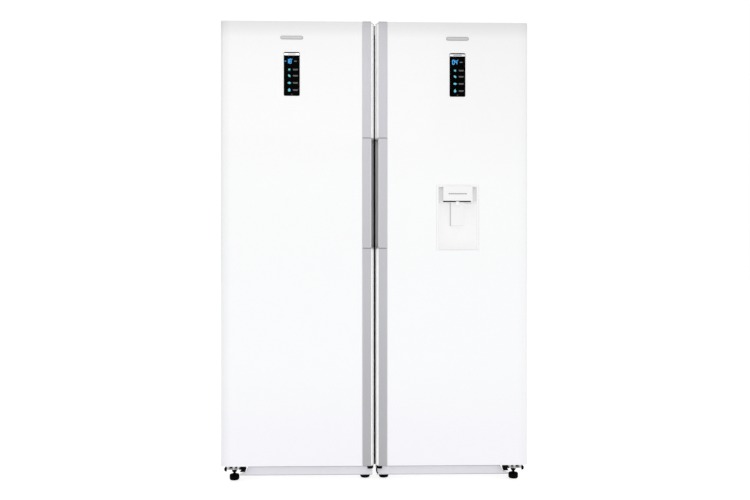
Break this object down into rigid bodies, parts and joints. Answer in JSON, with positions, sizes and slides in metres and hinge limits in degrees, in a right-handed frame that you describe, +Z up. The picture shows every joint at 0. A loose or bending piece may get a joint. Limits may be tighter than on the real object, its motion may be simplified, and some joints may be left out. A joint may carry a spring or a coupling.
{
  "type": "side by side refrigerator",
  "caption": "Twin upright freezer and refrigerator joined side by side, full-height centre handle strips, door displays and a water dispenser.",
  "frame": {"origin": "on the floor under the middle of the object's bounding box", "axes": "+X to the right of someone facing the doors, +Y towards the back, +Z up"},
  "size_m": [1.25, 0.7, 1.876],
  "materials": {
    "enamel": "gloss",
    "foam": "matte",
    "inner_plastic": "satin",
    "zinc_steel": "satin",
    "handle_aluminium": "satin",
    "black_glass": "polished",
    "black_paint": "satin",
    "black_plastic": "matte",
    "grey_plastic": "matte",
    "white_plastic": "satin",
    "seal_rubber": "matte",
    "clear_plastic": "polished",
    "shelf_glass": "polished"
  },
  "bodies": {
    "cabinets": {"freezer_outer_shell": "enamel", "freezer_insulation": "foam", "freezer_inner_liner": "inner_plastic", "freezer_rear_panel": "zinc_steel", "freezer_base_tray": "zinc_steel", "freezer_compressor": "black_paint", "freezer_plinth": "grey_plastic", "freezer_top_hinge": "zinc_steel", "freezer_bottom_hinge": "black_paint", "fridge_outer_shell": "enamel", "fridge_insulation": "foam", "fridge_inner_liner": "inner_plastic", "fridge_rear_panel": "zinc_steel", "fridge_base_tray": "zinc_steel", "fridge_compressor": "black_paint", "fridge_plinth": "grey_plastic", "fridge_top_hinge": "zinc_steel", "fridge_bottom_hinge": "black_paint", "freezer_drawer_bottom": "clear_plastic", "freezer_drawer_middle": "clear_plastic", "freezer_drawer_top": "clear_plastic", "fridge_crisper": "clear_plastic", "freezer_glass_shelf": "shelf_glass", "fridge_shelf_low": "shelf_glass", "fridge_shelf_middle": "shelf_glass", "fridge_shelf_high": "shelf_glass", "joining_plate": "zinc_steel"},
    "freezer_door": {"freezer_door_skin": "enamel", "freezer_door_insulation": "foam", "freezer_door_liner": "inner_plastic", "freezer_door_gasket": "seal_rubber", "freezer_handle_lower": "handle_aluminium", "freezer_handle_grip": "handle_aluminium", "freezer_handle_upper": "handle_aluminium", "freezer_display": "black_glass"},
    "fridge_door": {"fridge_door_skin": "enamel", "fridge_door_insulation": "foam", "fridge_door_liner": "inner_plastic", "fridge_door_gasket": "seal_rubber", "fridge_handle_lower": "handle_aluminium", "fridge_handle_grip": "handle_aluminium", "fridge_handle_upper": "handle_aluminium", "fridge_display": "black_glass", "dispenser_housing": "white_plastic", "dispenser_head": "white_plastic"},
    "lever": {"dispenser_lever": "white_plastic"},
    "drip_tray": {"dispenser_drip_tray": "white_plastic"},
    "tank": {"water_tank": "clear_plastic"},
    "tank_lid": {"water_tank_lid": "white_plastic"},
    "bottle_bin": {"fridge_bottle_bin": "clear_plastic"},
    "dairy_bin": {"fridge_dairy_bin": "clear_plastic"},
    "dairy_flap": {"fridge_dairy_flap": "clear_plastic"},
    "freezer_outer_foot": {"freezer_outer_foot": "black_plastic"},
    "freezer_inner_foot": {"freezer_inner_foot": "black_plastic"},
    "freezer_outer_roller": {"freezer_outer_roller": "black_plastic"},
    "freezer_inner_roller": {"freezer_inner_roller": "black_plastic"},
    "fridge_outer_foot": {"fridge_outer_foot": "black_plastic"},
    "fridge_inner_foot": {"fridge_inner_foot": "black_plastic"},
    "fridge_outer_roller": {"fridge_outer_roller": "black_plastic"},
    "fridge_inner_roller": {"fridge_inner_roller": "black_plastic"}
  },
  "joints": [
    {"name": "freezer_door_hinge", "type": "hinge", "parent": "cabinets", "child": "freezer_door", "pos_m": [-0.603, -0.31, 0.9], "axis": [0, 0, -1], "range_deg": [0, 115]},
    {"name": "fridge_door_hinge", "type": "hinge", "parent": "cabinets", "child": "fridge_door", "pos_m": [0.603, -0.31, 0.9], "axis": [0, 0, 1], "range_deg": [0, 115]},
    {"name": "dispenser_lever_pivot", "type": "hinge", "parent": "fridge_door", "child": "lever", "pos_m": [0.337, -0.324, 1.16], "axis": [1, 0, 0], "range_deg": [0, 10], "stiffness_Nm_per_rad": 1.2, "springref_deg": -14.32},
    {"name": "drip_tray_pull", "type": "slide", "parent": "fridge_door", "child": "drip_tray", "axis": [0, -1, 0], "range_m": [0, 0.08]},
    {"name": "water_tank_lift", "type": "slide", "parent": "fridge_door", "child": "tank", "axis": [0, 0, 1], "range_m": [0, 0.03]},
    {"name": "water_tank_lid_hinge", "type": "hinge", "parent": "tank", "child": "tank_lid", "pos_m": [0.337, -0.281, 1.1845], "axis": [1, 0, 0], "range_deg": [0, 80]},
    {"name": "bottle_bin_lift", "type": "slide", "parent": "fridge_door", "child": "bottle_bin", "axis": [0, 0, 1], "range_m": [0, 0.03]},
    {"name": "dairy_bin_lift", "type": "slide", "parent": "fridge_door", "child": "dairy_bin", "axis": [0, 0, 1], "range_m": [0, 0.03]},
    {"name": "dairy_flap_hinge", "type": "hinge", "parent": "fridge_door", "child": "dairy_flap", "pos_m": [0.32, -0.184, 1.7], "axis": [1, 0, 0], "range_deg": [0, 85]},
    {"name": "freezer_outer_foot_thread", "type": "hinge", "parent": "cabinets", "child": "freezer_outer_foot", "pos_m": [-0.579, -0.283, 0.012], "axis": [0, 0, 1], "range_deg": [-1080, 1080]},
    {"name": "freezer_inner_foot_thread", "type": "hinge", "parent": "cabinets", "child": "freezer_inner_foot", "pos_m": [-0.039, -0.255, 0.012], "axis": [0, 0, 1], "range_deg": [-1080, 1080]},
    {"name": "freezer_outer_roller_axle", "type": "hinge", "parent": "cabinets", "child": "freezer_outer_roller", "pos_m": [-0.565, 0.29, 0.02], "axis": [1, 0, 0], "continuous": true},
    {"name": "freezer_inner_roller_axle", "type": "hinge", "parent": "cabinets", "child": "freezer_inner_roller", "pos_m": [-0.06, 0.29, 0.02], "axis": [1, 0, 0], "continuous": true},
    {"name": "fridge_outer_foot_thread", "type": "hinge", "parent": "cabinets", "child": "fridge_outer_foot", "pos_m": [0.579, -0.283, 0.012], "axis": [0, 0, 1], "range_deg": [-1080, 1080]},
    {"name": "fridge_inner_foot_thread", "type": "hinge", "parent": "cabinets", "child": "fridge_inner_foot", "pos_m": [0.039, -0.255, 0.012], "axis": [0, 0, 1], "range_deg": [-1080, 1080]},
    {"name": "fridge_outer_roller_axle", "type": "hinge", "parent": "cabinets", "child": "fridge_outer_roller", "pos_m": [0.565, 0.29, 0.02], "axis": [1, 0, 0], "continuous": true},
    {"name": "fridge_inner_roller_axle", "type": "hinge", "parent": "cabinets", "child": "fridge_inner_roller", "pos_m": [0.06, 0.29, 0.02], "axis": [1, 0, 0], "continuous": true}
  ]
}
